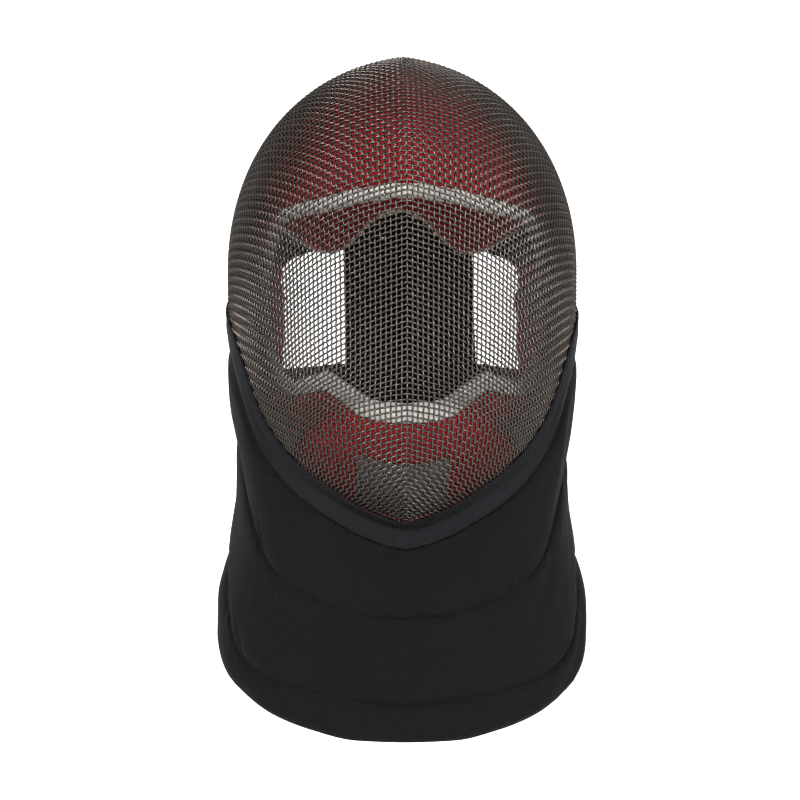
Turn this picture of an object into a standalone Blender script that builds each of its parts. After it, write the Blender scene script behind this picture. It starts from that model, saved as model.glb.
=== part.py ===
"""A fencing mask: a pressed wire hood with a front ridge, bound edges, a padded lining with a taped
face window, a padded bib that hangs from the hood's lower edge, and a sprung tongue and strap behind.

Metres, +Z up, the face looks along -Y. The origin is where the mask sits on the crown of the head.
Places on the hood are given by two angles about the head centre: the cone angle, from straight
ahead, and the clock angle, 0 at the chin, 90 at the ears and 180 over the crown.
"""

import math

import bmesh
import bpy
from mathutils import Matrix, Vector

# Hood: reach of its outer face from the head centre
HALF_WIDTH = 0.104
FRONT_REACH = 0.118
REAR_REACH = 0.112
CROWN_HEIGHT = 0.1215
CHIN_DROP = 0.158
UPPER_FULLNESS = 2.08
LOWER_FULLNESS = 3.0
RIDGE_HEIGHT = 0.0065
RIDGE_SPREAD = 0.42
RIDGE_END = 0.55
RIDGE_RUN = 0.9
LOWER_HALF_RUN = 0.5
LEAN_BACK = 6.0

# Layers, from the outer face of the hood inwards
MESH_THICKNESS = 0.002
LAYER_GAP = 0.0004
LINING_THICKNESS = 0.006
PATCH_SPACE = 0.001
LINING_TUCK = 0.0068
LINING_TUCK_RUN_DEG = 22.0

# Lining and its window tape
WINDOW_TAPE_WIDTH = 0.0095
WINDOW_TAPE_PROUD = 0.0008
WINDOW_TAPE_ROUND = 0.0006
PIECE_GAP = 0.0005
LINING_SPREAD_DEG = 30.0
TEMPLE_NEAR_CONE = 99.0
TEMPLE_EDGE_SPACE_DEG = 3.0

# Bindings on the hood's edge
BAND_WIDTH = 0.0205
BAND_THICKNESS = 0.0016
BAND_OVERLAP_DEG = 2.5
BAND_END_CLOCK = 101.5
REAR_BINDING_WIDTH = 0.012
REAR_BINDING_INNER_WIDTH = 0.004
REAR_BINDING_THICKNESS = 0.0013
REAR_BINDING_END_CLOCK = 103

# Bib, with its drop measured from the head centre
BIB_WALL = 0.0045
BIB_EDGE_WALL = 0.003
BIB_PUFF = 0.0036
BIB_PUFF_START = 0.0165
BIB_PUFF_RUN = 0.012
BIB_PINCH = 0.010
BIB_SIDE_RISE = 0.65
BIB_HEM_HALF_WIDTH = 0.107
BIB_HEM_FRONT = 0.092
BIB_HEM_REAR = 0.114
BIB_DROP = 0.2755
BIB_END_CLOCK = 100.5
BIB_OVERLAP_DEG = 0.3

# Tongue and back strap
TONGUE_WIDTH = 0.082
TONGUE_THICKNESS = 0.008
TONGUE_FOOT_ROUND = 0.014
TONGUE_SHIFT = 0.0056
TONGUE_FOOT_SHIFT = 0.0085
TONGUE_TOP = 0.0335
TONGUE_BOTTOM = -0.095
TONGUE_TOP_REACH = REAR_REACH - 0.0127
TONGUE_FOOT_REACH = REAR_REACH - 0.033
TONGUE_WRAP = 0.003
TONGUE_BELOW_WIRE = 0.0032
HANGER_WIDTH = 0.030
HANGER_THICKNESS = 0.0012
HANGER_FOOT = -0.037
HANGER_TOP = 0.029
STRAP_THICKNESS = 0.0016
STRAP_WIDTH = 0.036
STRAP_TOP = -0.048
STRAP_END_DROP = 0.006
STRAP_END_REACH = 0.034
STRAP_END_LENGTH = 0.022
STRAP_END_SLANT = 0.014
STRAP_BOW = 0.0035

# Chin patch
PATCH_THICKNESS = 0.0012
PATCH_WIDTH = 0.054
PATCH_SHIFT = -0.002
PATCH_TOP_CONE = 55.0
PATCH_UNDER_BAND_DEG = 0.8

# (clock, cone) where the lower band starts, and behind the ears where the mesh ends
HOOD_EDGE = (
    (0, 70.0), (9, 67.2), (18, 64.7), (28, 64.4), (39, 64.8), (51, 65.5), (61, 68.7), (70, 76.5),
    (80, 93.0), (90, 116.0), (100, 130.0), (110, 136.0), (120, 142.5), (136, 151.0), (155, 154.0),
    (180, 155.0),
)

# (clock, cone, share of WINDOW_TAPE_WIDTH) of the tape around the face window
WINDOW_EDGE = (
    (0, 45.0, 1.0), (13, 45.6, 1.0), (20, 44.8, 0.98), (27, 44.9, 0.93), (33, 49.5, 0.79),
    (38, 54.6, 0.58), (45, 56.0, 0.4), (55, 56.0, 0.34), (65, 55.1, 0.34), (75, 53.1, 0.34),
    (88, 49.3, 0.36), (97, 45.8, 0.46), (102, 42.8, 0.59), (104.5, 37.0, 0.69), (107, 31.0, 0.78),
    (112, 24.2, 0.84), (131, 15.2, 0.86), (155, 11.4, 0.86), (180, 10.2, 0.86),
)

# (clock, cone) of the cheek lining's far edge, from under the chin to behind the ear
CHEEK_REAR_EDGE = (
    (0, 78.0), (10, 74.0), (18, 70.0), (26, 71.0), (32, 77.0), (38, 90.0), (46, 107.0), (56, 121.0),
    (66, 125.0), (78, 126.5), (90, 129.0), (102, 131.0),
)

# (clock, cone) of the crown lining's rear edge, with a lobe on each side of the tongue
CROWN_REAR_EDGE = (
    (103, 94.0), (116, 97.0), (117.8, 104.0), (118.6, 118.0), (119.6, 133.0), (122, 143.0),
    (126, 147.2), (131, 149.8), (140, 151.0), (151, 150.2), (163, 147.6), (180, 145.5),
)

# (clock of the column's top, plan angle of its foot from the front)
BIB_COLUMNS = ((0, 0.0), (20, 17.0), (40, 42.0), (60, 72.0), (80, 102.0), (100, 127.0))

# (plan angle from the front, share of BIB_DROP at the hem)
BIB_HEM = (
    (0, 1.0), (15, 0.997), (30, 0.977), (45, 0.948), (60, 0.907), (75, 0.862), (90, 0.8), (127, 0.7),
)

# (share of the way down the bib's side, share of BIB_PINCH it is drawn in)
BIB_WAIST = ((0.0, 0.0), (0.1, 0.3), (0.25, 0.56), (0.42, 1.0), (0.55, 1.05), (0.65, 0.8), (0.73, 0.5),
             (0.85, 0.12), (1.0, 0.0))

# (clock, share of the way down the bib at its first seam, and at its second)
BIB_SEAMS = (
    (0, 0.44, 0.84), (16, 0.487, 0.845), (31, 0.549, 0.878), (46, 0.597, 0.915), (54, 0.59, 0.918),
    (62, 0.571, 0.869), (70, 0.56, 0.832), (80, 0.55, 0.835), (100, 0.5, 0.83),
)
# (level down the bib: 0 at its top, 1 and 2 at its seams and 3 at its hem, share of BIB_PUFF)
BIB_CHANNELS = (
    (0.0, 0.0), (0.22, 0.1), (0.4, 0.75), (0.62, 1.0), (0.82, 0.85), (0.94, 0.45), (1.0, 0.0),
    (1.07, 0.5), (1.23, 0.95), (1.51, 1.1), (1.79, 1.0), (1.93, 0.6), (2.0, 0.0), (2.18, 0.55),
    (2.53, 0.95), (2.82, 0.7), (3.0, 0.1),
)

# (share of the way up the tongue, how far back: 0 at the foot and 1 at the top, share of thickness)
TONGUE_PROFILE = (
    (0.0, 0.0, 0.45), (0.04, 0.02, 0.9), (0.12, 0.09, 1.0), (0.3, 0.25, 1.0), (0.5, 0.45, 1.0),
    (0.7, 0.68, 1.0), (0.85, 0.85, 0.9), (0.93, 0.94, 0.8), (0.98, 0.985, 0.76), (1.0, 1.0, 0.5),
)
# (share of the tongue's half width, share of thickness, share of TONGUE_FOOT_ROUND)
TONGUE_WIDTHS = (
    (-1.0, 0.3, 1.0), (-0.95, 0.8, 0.43), (-0.85, 1.0, 0.13), (-0.6, 1.0, 0.015), (-0.3, 1.0, 0.0),
    (0.0, 1.0, 0.0), (0.3, 1.0, 0.0), (0.6, 1.0, 0.015), (0.85, 1.0, 0.13), (0.95, 0.8, 0.43),
    (1.0, 0.3, 1.0),
)

# (share of the strip's length behind the tongue) where the hanger's sections lie
HANGER_LEVELS = (0.0, 0.38, 0.74, 1.0)
# (degrees short of the wire's edge, 1 over the binding or 0 on the wire)
HANGER_ON_WIRE = ((0.0, 1), (3.0, 1), (5.0, 0), (9.0, 0))

# (share of half the tongue's width, share of TONGUE_WRAP the strap has come forward)
STRAP_ON_TONGUE = ((0.0, 0.0), (0.37, 0.03), (0.73, 0.27), (0.93, 0.5), (1.12, 1.07))
# Shares of the strap's free run, and of the end that lies on the lining
STRAP_FREE = (0.25, 0.5, 0.75, 0.92)
STRAP_END = (0.0, 0.45, 1.0)

HOOD_CLOCKS = (
    0, 8, 16, 24, 31, 38, 46, 54, 62, 69, 75, 81, 86, 91, 96, 101, 108, 115, 122, 130, 139, 149,
    160, 170, 180,
)
WINDOW_CLOCKS = (
    0, 8, 16, 21, 25, 29, 32, 35, 38, 42, 48, 56, 65, 75, 85, 93, 98, 101, 103, 105, 107, 110,
    114, 122, 132, 144, 157, 169, 180,
)
LOBE_CLOCKS = (102.6, 116.5, 117.8, 118.6, 119.6, 126, 136)
CHEEK_END_CLOCK = 102.0
TEMPLE_CLOCKS = (99.5, 103, 107, 111, 115, 119, 123)

STEEL = ("wire_steel", (0.22, 0.21, 0.2), 0.35, 1.0)
BLACK_CLOTH = ("black_cloth", (0.012, 0.012, 0.013), 0.9, 0.0)
BLACK_TAPE = ("black_tape", (0.02, 0.02, 0.024), 0.7, 0.0)
RED_CLOTH = ("red_cloth", (0.33, 0.012, 0.016), 0.85, 0.0)
WHITE_TAPE = ("white_tape", (0.8, 0.76, 0.7), 0.8, 0.0)
ELASTIC = ("elastic", (0.025, 0.025, 0.027), 0.8, 0.0)
GREY_PILE = ("grey_pile", (0.25, 0.24, 0.24), 0.95, 0.0)


def smooth(share):
    """0 to 1 with level ends."""
    share = min(max(share, 0.0), 1.0)
    return share * share * (3.0 - 2.0 * share)


def read_table(rows, at, column=1):
    """A smooth curve, without overshoot, through one column of a table."""
    xs = [row[0] for row in rows]
    ys = [row[column] for row in rows]
    at = min(max(at, xs[0]), xs[-1])
    k = max(i for i in range(len(xs) - 1) if xs[i] <= at)
    rises = [(ys[i + 1] - ys[i]) / (xs[i + 1] - xs[i]) for i in range(len(xs) - 1)]

    def slope(i):
        if i in (0, len(xs) - 1) or rises[i - 1] * rises[i] <= 0:
            return 0.0
        return 2.0 * rises[i - 1] * rises[i] / (rises[i - 1] + rises[i])

    step = xs[k + 1] - xs[k]
    t = (at - xs[k]) / step
    bend = t * (1.0 - t) * step * (slope(k) * (1.0 - t) - slope(k + 1) * t)
    return ys[k] + (ys[k + 1] - ys[k]) * smooth(t) + bend


def hood_radius(ray):
    """Distance from the head centre to the hood's outer face along a unit ray."""
    across, back, up = ray
    reach = FRONT_REACH if back < 0 else REAR_REACH
    height = CROWN_HEIGHT if up > 0 else CHIN_DROP
    fullness = UPPER_FULLNESS + (LOWER_FULLNESS - UPPER_FULLNESS) * smooth(-up / LOWER_HALF_RUN)
    level = math.hypot(across / HALF_WIDTH, back / reach)
    radius = (level**fullness + (abs(up) / height) ** fullness) ** (-1.0 / fullness)
    ridge = RIDGE_HEIGHT * smooth((RIDGE_END - back) / RIDGE_RUN)
    return radius + ridge * math.exp(-abs(across) / RIDGE_SPREAD)


def ray_at(clock, cone):
    k, c = math.radians(clock), math.radians(cone)
    return Vector((math.sin(c) * math.sin(k), -math.cos(c), -math.sin(c) * math.cos(k)))


LEAN = Matrix.Rotation(-math.radians(LEAN_BACK), 3, "X")


def hood_point(clock, cone, depth):
    """A point that lies depth inside the hood's outer face, from the head centre."""
    ray = ray_at(clock, cone)
    return LEAN @ (ray * (hood_radius(ray) - depth))


def shifted(point, depth):
    """The point moved along its own ray until it lies depth inside the hood's outer face."""
    ray = (LEAN.inverted() @ point).normalized()
    return LEAN @ (ray * (hood_radius(ray) - depth))


LINING_DEPTH = MESH_THICKNESS + PATCH_THICKNESS + 2 * PATCH_SPACE
LINING_INNER_DEPTH = LINING_DEPTH + LINING_THICKNESS
SEAT_RAY = LEAN.inverted() @ Vector((0, 0, 1))
SEAT_HEIGHT = hood_radius(SEAT_RAY) - LINING_INNER_DEPTH


def mirrored(half):
    """Clock angles of one side, 0 to 180, carried round the other side to just short of 360."""
    return list(half) + [360 - k for k in reversed(half[1:-1])]


def folded(clock):
    """The same clock angle counted on one side, 0 to 180."""
    clock = clock % 360
    return min(clock, 360 - clock)


def both_sides(half):
    """Clock angles from minus the last to plus the last."""
    return [-k for k in reversed(half[1:])] + list(half)


def build_object(name, verts, faces, finish, centre):
    """One named closed mesh object with its own material, hung on the head centre."""
    mesh = bpy.data.meshes.new(name)
    mesh.from_pydata([tuple(v) for v in verts], [], faces)
    work = bmesh.new()
    work.from_mesh(mesh)
    bmesh.ops.remove_doubles(work, verts=work.verts, dist=1e-6)
    bmesh.ops.recalc_face_normals(work, faces=work.faces)
    # Bent quads are split here, so that the gap between two neighbours doesn't depend on the reader
    bmesh.ops.triangulate(work, faces=work.faces)
    work.to_mesh(mesh)
    work.free()
    mesh.shade_smooth()
    mesh.set_sharp_from_angle(angle=math.radians(40))
    label, colour, roughness, metallic = finish
    material = bpy.data.materials.get(label) or bpy.data.materials.new(label)
    material.use_nodes = True
    shader = material.node_tree.nodes["Principled BSDF"]
    shader.inputs["Base Color"].default_value = (*colour, 1.0)
    shader.inputs["Roughness"].default_value = roughness
    shader.inputs["Metallic"].default_value = metallic
    material.diffuse_color = (*colour, 1.0)
    mesh.materials.append(material)
    piece = bpy.data.objects.new(name, mesh)
    bpy.context.scene.collection.objects.link(piece)
    piece.parent = centre
    return piece


def build_wall(name, outer, inner, finish, centre, closed=False):
    """A wall between two equal grids of points, columns by rows. A closed one has no side ends."""
    columns, rows = len(outer), len(outer[0])
    verts = [p for grid in (outer, inner) for column in grid for p in column]

    def outer_at(i, j):
        return (i % columns) * rows + j

    def inner_at(i, j):
        return columns * rows + outer_at(i, j)

    faces = []
    for i in range(columns if closed else columns - 1):
        for j in range(rows - 1):
            faces.append([outer_at(i, j), outer_at(i + 1, j), outer_at(i + 1, j + 1), outer_at(i, j + 1)])
            faces.append([inner_at(i, j), inner_at(i, j + 1), inner_at(i + 1, j + 1), inner_at(i + 1, j)])
        for j in (0, rows - 1):
            faces.append([outer_at(i, j), inner_at(i, j), inner_at(i + 1, j), outer_at(i + 1, j)])
    for i in () if closed else (0, columns - 1):
        for j in range(rows - 1):
            faces.append([outer_at(i, j), outer_at(i, j + 1), inner_at(i, j + 1), inner_at(i, j)])
    faces = [f for f in faces if len({tuple(round(c, 7) for c in verts[v]) for v in f}) > 2]
    return build_object(name, verts, faces, finish, centre)


def build_sweep(name, sections, finish, centre, closed=False):
    """A solid through equal loops of points, joined in order and capped unless closed."""
    count, size = len(sections), len(sections[0])
    verts = [p for section in sections for p in section]
    faces = []
    for i in range(count if closed else count - 1):
        here, there = i * size, ((i + 1) % count) * size
        for j in range(size):
            k = (j + 1) % size
            faces.append([here + j, here + k, there + k, there + j])
    if not closed:
        faces.append(list(range(size)))
        faces.append([(count - 1) * size + j for j in reversed(range(size))])
    return build_object(name, verts, faces, finish, centre)


def hood_edge(clock):
    return read_table(HOOD_EDGE, folded(clock))


def mesh_edge(clock):
    """Cone angle where the wire itself ends: under the lower band, or in the rear binding."""
    under_band = 1.0 - smooth((folded(clock) - 80.0) / 20.0)
    return hood_edge(clock) + BAND_OVERLAP_DEG * under_band


def build_wire_mesh(centre):
    """The hood's wire cloth as one wall, with its crease on the face's middle line."""
    steps = 18
    grids = []
    for depth in (0.0, MESH_THICKNESS):
        grids.append([
            [hood_point(k, mesh_edge(k) * j / steps, depth) for j in range(steps + 1)]
            for k in mirrored(HOOD_CLOCKS)
        ])
    return build_wall("wire_mesh", grids[0], grids[1], STEEL, centre, closed=True)


def edge_side(clock, edge, turn=0.5):
    """Unit vector along the hood, square to an edge curve and away from the face."""
    here = hood_point(clock, edge(clock), 0.0)
    along = hood_point(clock + turn, edge(clock + turn), 0.0) - hood_point(
        clock - turn, edge(clock - turn), 0.0
    )
    side = along.cross(here).normalized()
    return side if side.dot(hood_point(clock, edge(clock) + 1.0, 0.0) - here) > 0 else -side


def along_hood(clock, edge, distance, depth):
    """A point distance past an edge curve, square to it, at a depth inside the hood."""
    return shifted(hood_point(clock, edge(clock), 0.0) + edge_side(clock, edge) * distance, depth)


def build_rear_binding(centre):
    """The tape folded over the wire's edge, from behind one ear, over the nape, to the other."""
    gap, tape = LAYER_GAP, REAR_BINDING_THICKNESS
    profile = (
        (-REAR_BINDING_WIDTH, -gap), (-REAR_BINDING_WIDTH, -gap - tape), (gap, -gap - tape),
        (gap + tape, MESH_THICKNESS / 2), (gap, MESH_THICKNESS + gap + tape),
        (-REAR_BINDING_INNER_WIDTH, MESH_THICKNESS + gap + tape),
        (-REAR_BINDING_INNER_WIDTH, MESH_THICKNESS + gap), (gap, MESH_THICKNESS + gap), (gap, -gap),
    )
    half = [REAR_BINDING_END_CLOCK] + [k for k in HOOD_CLOCKS if k > REAR_BINDING_END_CLOCK]
    clocks = half + [360 - k for k in reversed(half[:-1])]
    sections = [[along_hood(k, mesh_edge, x, d) for x, d in profile] for k in clocks]
    return build_sweep("rear_binding", sections, BLACK_TAPE, centre)


def bib_top_cone(clock):
    return mesh_edge(clock) + BIB_OVERLAP_DEG


def bib_outward(clock):
    """Level unit vector out of the bib at one column."""
    plan = math.radians(read_table(BIB_COLUMNS, abs(clock)))
    side = math.copysign(math.sin(plan) / BIB_HEM_HALF_WIDTH, clock)
    reach = BIB_HEM_FRONT if math.cos(plan) > 0 else BIB_HEM_REAR
    return Vector((side, -math.cos(plan) / reach, 0.0)).normalized()


def bib_foot(clock):
    """The middle of the hem under one column, from the head centre."""
    angle = read_table(BIB_COLUMNS, abs(clock))
    plan = math.radians(angle)
    reach = BIB_HEM_FRONT if angle < 90 else BIB_HEM_REAR
    x = math.copysign(BIB_HEM_HALF_WIDTH * math.sin(plan), clock)
    return Vector((x, -reach * math.cos(plan), -BIB_DROP * read_table(BIB_HEM, angle)))


def bib_point(clock, share, proud):
    """A point on one column of the bib, share of the way down, proud of its outer seam line."""
    top = hood_point(clock, bib_top_cone(clock), 0.0)
    side = math.sin(math.radians(read_table(BIB_COLUMNS, abs(clock)))) ** 2
    share = share ** (1.0 + BIB_SIDE_RISE * side)
    pinch = BIB_PINCH * read_table(BIB_WAIST, share) * side
    return top.lerp(bib_foot(clock), share) + bib_outward(clock) * (proud - pinch)


def bib_share(clock, level):
    """Share of the way down one column of the bib at a level of its channels."""
    levels = (0.0, read_table(BIB_SEAMS, abs(clock)), read_table(BIB_SEAMS, abs(clock), 2), 1.0)
    k = min(int(level), 2)
    return levels[k] + (levels[k + 1] - levels[k]) * (level - k)


def build_bib(centre):
    """The padded bib, one quilted wall open at the back of the neck."""
    clocks = both_sides([k for k in HOOD_CLOCKS if k < 100] + [BIB_END_CLOCK])
    outer, inner = [], []
    for k in clocks:
        outside, inside = [], []
        for level, puffed in BIB_CHANNELS:
            share = bib_share(k, level)
            drop = (bib_point(k, share, 0.0) - bib_point(k, 0.0, 0.0)).length
            puff = BIB_PUFF * puffed
            puff *= smooth((drop - BIB_PUFF_START) / BIB_PUFF_RUN)
            wall = BIB_EDGE_WALL + (BIB_WALL - BIB_EDGE_WALL) * smooth(share / 0.2)
            rounding = 0.3 * smooth((share - 0.93) / 0.07)
            outside.append(bib_point(k, share, puff - wall * rounding))
            inside.append(bib_point(k, share, wall * (rounding - 1.0)))
        outer.append(outside)
        inner.append(inside)
    return build_wall("bib", outer, inner, BLACK_CLOTH, centre)


def build_lower_band(centre):
    """The band sewn over the wire's lower edge and the bib's top, from ear to ear by the chin."""
    clocks = both_sides([k for k in HOOD_CLOCKS if k < 100] + [BIB_END_CLOCK, BAND_END_CLOCK])
    sections = []
    for k in clocks:
        lip = [along_hood(k, hood_edge, 0.0, -LAYER_GAP - t) for t in (0.0, BAND_THICKNESS)]
        bend = [along_hood(k, mesh_edge, 0.0, -LAYER_GAP - t) for t in (0.0, BAND_THICKNESS)]
        column = bib_foot(k) - hood_point(k, bib_top_cone(k), 0.0)
        side = math.sin(math.radians(read_table(BIB_COLUMNS, abs(k)))) ** 2
        below = max(BAND_WIDTH - (bend[0] - lip[0]).length, BAND_WIDTH / 3)
        pair = []
        for length, thinned in ((below / 2, 1.0), (below, 0.7)):
            share = (length / column.length) ** (1.0 / (1.0 + BIB_SIDE_RISE * side))
            clear = BIB_PUFF * 0.1 + LAYER_GAP
            pair.append([bib_point(k, share, clear + BAND_THICKNESS * t) for t in (0.0, thinned)])
        half, foot = pair
        sections.append([lip[0], lip[1], bend[1], half[1], foot[1], foot[0], half[0], bend[0]])
    return build_sweep("lower_band", sections, BLACK_TAPE, centre)


def window_edge(clock):
    return read_table(WINDOW_EDGE, folded(clock))


def tape_half(clock):
    return WINDOW_TAPE_WIDTH * read_table(WINDOW_EDGE, folded(clock), 2) / 2


def build_window_tape(centre):
    """The pale tape that binds the lining's edge all round the face window."""
    front = LINING_DEPTH - WINDOW_TAPE_PROUD
    back = LINING_INNER_DEPTH + WINDOW_TAPE_PROUD
    middle = (front + back) / 2
    turn = WINDOW_TAPE_ROUND
    profile = (
        (-1.0, middle), (-0.75, front + 1.6 * turn), (0.0, front), (0.8, front + turn),
        (1.0, middle), (0.8, back - turn), (0.0, back), (-0.75, back - 1.6 * turn),
    )
    sections = [
        [along_hood(k, window_edge, x * tape_half(k), d) for x, d in profile]
        for k in mirrored(WINDOW_CLOCKS)
    ]
    return build_sweep("window_tape", sections, WHITE_TAPE, centre, closed=True)


def lining_depth(clock, cone):
    """Depth of a lining's outer face, which tucks in behind the bib past the wire's lower edge."""
    side = 1.0 - smooth((folded(clock) - 92.0) / 10.0)
    past_edge = cone - hood_edge(clock) + 2.0
    return LINING_DEPTH + LINING_TUCK * side * smooth(past_edge / LINING_TUCK_RUN_DEG)


def lining_column(clock, far_cone, steps):
    """Outer and inner rows of one lining column, from the window tape to a far cone."""
    first = along_hood(clock, window_edge, tape_half(clock) + PIECE_GAP, 0.0)
    ray = (LEAN.inverted() @ first).normalized()
    near_cone = math.degrees(math.acos(-ray.y))
    near_clock = math.degrees(math.atan2(ray.x, -ray.z)) % 360
    drift = (near_clock - clock + 180) % 360 - 180
    outer, inner = [], []
    for j in range(steps + 1):
        cone_here = near_cone + (far_cone - near_cone) * j / steps
        clock_here = clock + drift * (1.0 - smooth((cone_here - near_cone) / LINING_SPREAD_DEG))
        depth = lining_depth(clock_here, cone_here)
        outer.append(hood_point(clock_here, cone_here, depth))
        inner.append(hood_point(clock_here, cone_here, depth + LINING_THICKNESS))
    return outer, inner


def build_lining(name, clocks, rear_edge, steps, centre):
    """One padded panel of the lining, between the window tape and its rear edge."""
    columns = [lining_column(k, read_table(rear_edge, folded(k)), steps) for k in clocks]
    return build_wall(name, [c[0] for c in columns], [c[1] for c in columns], RED_CLOTH, centre)


def build_linings(centre):
    """The crown and cheek pads, and the thin panels behind the temples that run in under them."""
    half = sorted(LOBE_CLOCKS + tuple(k for k in WINDOW_CLOCKS if k > CHEEK_END_CLOCK + 2))
    crown = half + [360 - k for k in reversed(half[:-1])]
    build_lining("crown_lining", crown, CROWN_REAR_EDGE, 11, centre)
    cheek = [k for k in WINDOW_CLOCKS if k < CHEEK_END_CLOCK] + [CHEEK_END_CLOCK]
    build_lining("cheek_lining", both_sides(cheek), CHEEK_REAR_EDGE, 9, centre)
    front = MESH_THICKNESS + PATCH_SPACE
    for label, turn in (("right", 1), ("left", -1)):
        grids = []
        for depth in (front, front + PATCH_THICKNESS):
            grid = []
            for k in TEMPLE_CLOCKS:
                run = hood_edge(k) - TEMPLE_EDGE_SPACE_DEG - TEMPLE_NEAR_CONE
                cones = [TEMPLE_NEAR_CONE + run * j / 5 for j in range(6)]
                grid.append([hood_point(k * turn, cone, depth) for cone in cones])
            grids.append(grid)
        build_wall("temple_lining_" + label, grids[0], grids[1], BLACK_CLOTH, centre)


def build_chin_patch(centre):
    """The plain pile patch between the wire and the chin lining."""
    columns, rows = 8, 4
    front = MESH_THICKNESS + PATCH_SPACE
    grids = []
    for depth in (front, front + PATCH_THICKNESS):
        grid = []
        for i in range(columns + 1):
            x = PATCH_SHIFT + PATCH_WIDTH * (i / columns - 0.5)
            column = []
            for j in range(rows + 1):
                cone = PATCH_TOP_CONE
                for _ in range(3):
                    reach = hood_radius(ray_at(0, cone)) * math.sin(math.radians(cone))
                    clock = math.degrees(math.asin(x / reach))
                    run = hood_edge(clock) + PATCH_UNDER_BAND_DEG - PATCH_TOP_CONE
                    cone = PATCH_TOP_CONE + run * j / rows
                column.append(hood_point(clock, cone, depth))
            grid.append(column)
        grids.append(grid)
    return build_wall("chin_patch", grids[0], grids[1], GREY_PILE, centre)


def wire_edge_height(x):
    """Height of the wire's rear edge above the head centre, at a distance from the middle plane."""
    low, high = 105.0, 180.0
    for _ in range(24):
        clock = (low + high) / 2
        if hood_point(clock, mesh_edge(clock), 0.0).x > abs(x):
            low = clock
        else:
            high = clock
    return hood_point(high, mesh_edge(high), 0.0).z


def tongue_middle(height):
    """The middle of the tongue at one height, with its share of full thickness there."""
    share = (height - TONGUE_BOTTOM) / (TONGUE_TOP - TONGUE_BOTTOM)
    back = read_table(TONGUE_PROFILE, share)
    x = TONGUE_FOOT_SHIFT + (TONGUE_SHIFT - TONGUE_FOOT_SHIFT) * share
    y = TONGUE_FOOT_REACH + (TONGUE_TOP_REACH - TONGUE_FOOT_REACH) * back
    return Vector((x, y - TONGUE_WRAP * (1.0 - share), height)), read_table(TONGUE_PROFILE, share, 2)


def tongue_face(height, x, proud):
    """A point on the tongue's back face, x from its middle line, proud of the face."""
    middle, thickness = tongue_middle(height)
    share = (height - TONGUE_BOTTOM) / (TONGUE_TOP - TONGUE_BOTTOM)
    wrap = TONGUE_WRAP * (1.0 - share) * (1.0 - (2.0 * x / TONGUE_WIDTH) ** 2)
    return middle + Vector((x, TONGUE_THICKNESS * thickness / 2 + wrap + proud, 0.0))


def build_tongue(centre):
    """The padded tongue behind the head, and the covered spring strip that hangs it from the wire."""
    grids = [[], []]
    for across, thin, rise in TONGUE_WIDTHS:
        x = across * TONGUE_WIDTH / 2
        top = min(TONGUE_TOP, wire_edge_height(x + TONGUE_SHIFT) - TONGUE_BELOW_WIRE)
        foot = TONGUE_BOTTOM + TONGUE_FOOT_ROUND * rise
        columns = [[], []]
        for share, _, thickness in TONGUE_PROFILE:
            height = foot + (top - foot) * share
            full = TONGUE_THICKNESS * tongue_middle(height)[1]
            rim = min(thin, thickness / 0.75, 1.0) if share in (0.0, 1.0) else thin
            for column, side in zip(columns, (0.0, -1.0)):
                column.append(tongue_face(height, x, full * (side + (0.5 + side) * (rim - 1.0))))
        for grid, column in zip(grids, columns):
            grid.append(column)
    build_wall("tongue_pad", grids[0], grids[1], BLACK_CLOTH, centre)

    half = HANGER_WIDTH / 2
    sections = []
    for level in HANGER_LEVELS:
        height = HANGER_FOOT + (HANGER_TOP - HANGER_FOOT) * level
        inner = [tongue_face(height, half * x, 2 * LAYER_GAP) for x in (-1, 0, 1)]
        sections.append(inner + [p + Vector((0.0, HANGER_THICKNESS, 0.0)) for p in reversed(inner)])
    for short, over_binding in HANGER_ON_WIRE:
        cone = mesh_edge(180) - short
        depth = MESH_THICKNESS + 2 * LAYER_GAP + (REAR_BINDING_THICKNESS + LAYER_GAP) * over_binding
        rear = []
        for x in (-1, 0, 1):
            start = hood_point(180, cone, depth) + Vector((TONGUE_SHIFT + half * x, 0.0, 0.0))
            rear.append(shifted(start, depth))
        sections.append([shifted(p, depth + HANGER_THICKNESS) for p in rear] + list(reversed(rear)))
    return build_sweep("tongue_hanger", sections, BLACK_TAPE, centre)


def side_point(back, height, clearance):
    """A point on the right side, outside the cheek lining by a clearance, at a reach and height."""
    near, far = 0.04, 0.12
    for _ in range(24):
        x = (near + far) / 2
        ray = (LEAN.inverted() @ Vector((x, back, height))).normalized()
        cone = math.degrees(math.acos(-ray.y))
        clock = math.degrees(math.atan2(ray.x, -ray.z))
        depth = hood_radius(ray) - Vector((x, back, height)).length
        if depth > lining_depth(clock, cone) - clearance:
            near = x
        else:
            far = x
    return Vector((x, back, height))


def strap_row(level):
    """Plan line of the strap's inner face at one level, level 0 its top edge and 1 its lower."""
    end = STRAP_TOP - STRAP_END_DROP - STRAP_WIDTH * level
    start = STRAP_END_REACH - STRAP_END_SLANT * level
    anchor = [side_point(start + STRAP_END_LENGTH * t, end, 3 * LAYER_GAP) for t in STRAP_END]
    z = STRAP_TOP - STRAP_WIDTH * level
    middle_x = tongue_middle(z)[0].x
    back = tongue_face(z, 0.0, 2 * LAYER_GAP).y
    sides = []
    for turn in (1, -1):
        on_tongue = [
            Vector((middle_x + turn * x * TONGUE_WIDTH / 2, back - y * TONGUE_WRAP, z))
            for x, y in STRAP_ON_TONGUE
        ]
        near, far = on_tongue[-1], Vector((turn * anchor[-1].x, anchor[-1].y, anchor[-1].z))
        free = []
        for t in STRAP_FREE:
            p = near.lerp(far, t)
            free.append(p + Vector((0.0, STRAP_BOW * math.sin(math.pi * t), 0.0)))
        ends = [Vector((turn * p.x, p.y, p.z)) for p in reversed(anchor)]
        sides.append(on_tongue + free + ends)
    return list(reversed(sides[1])) + sides[0][1:]


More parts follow.
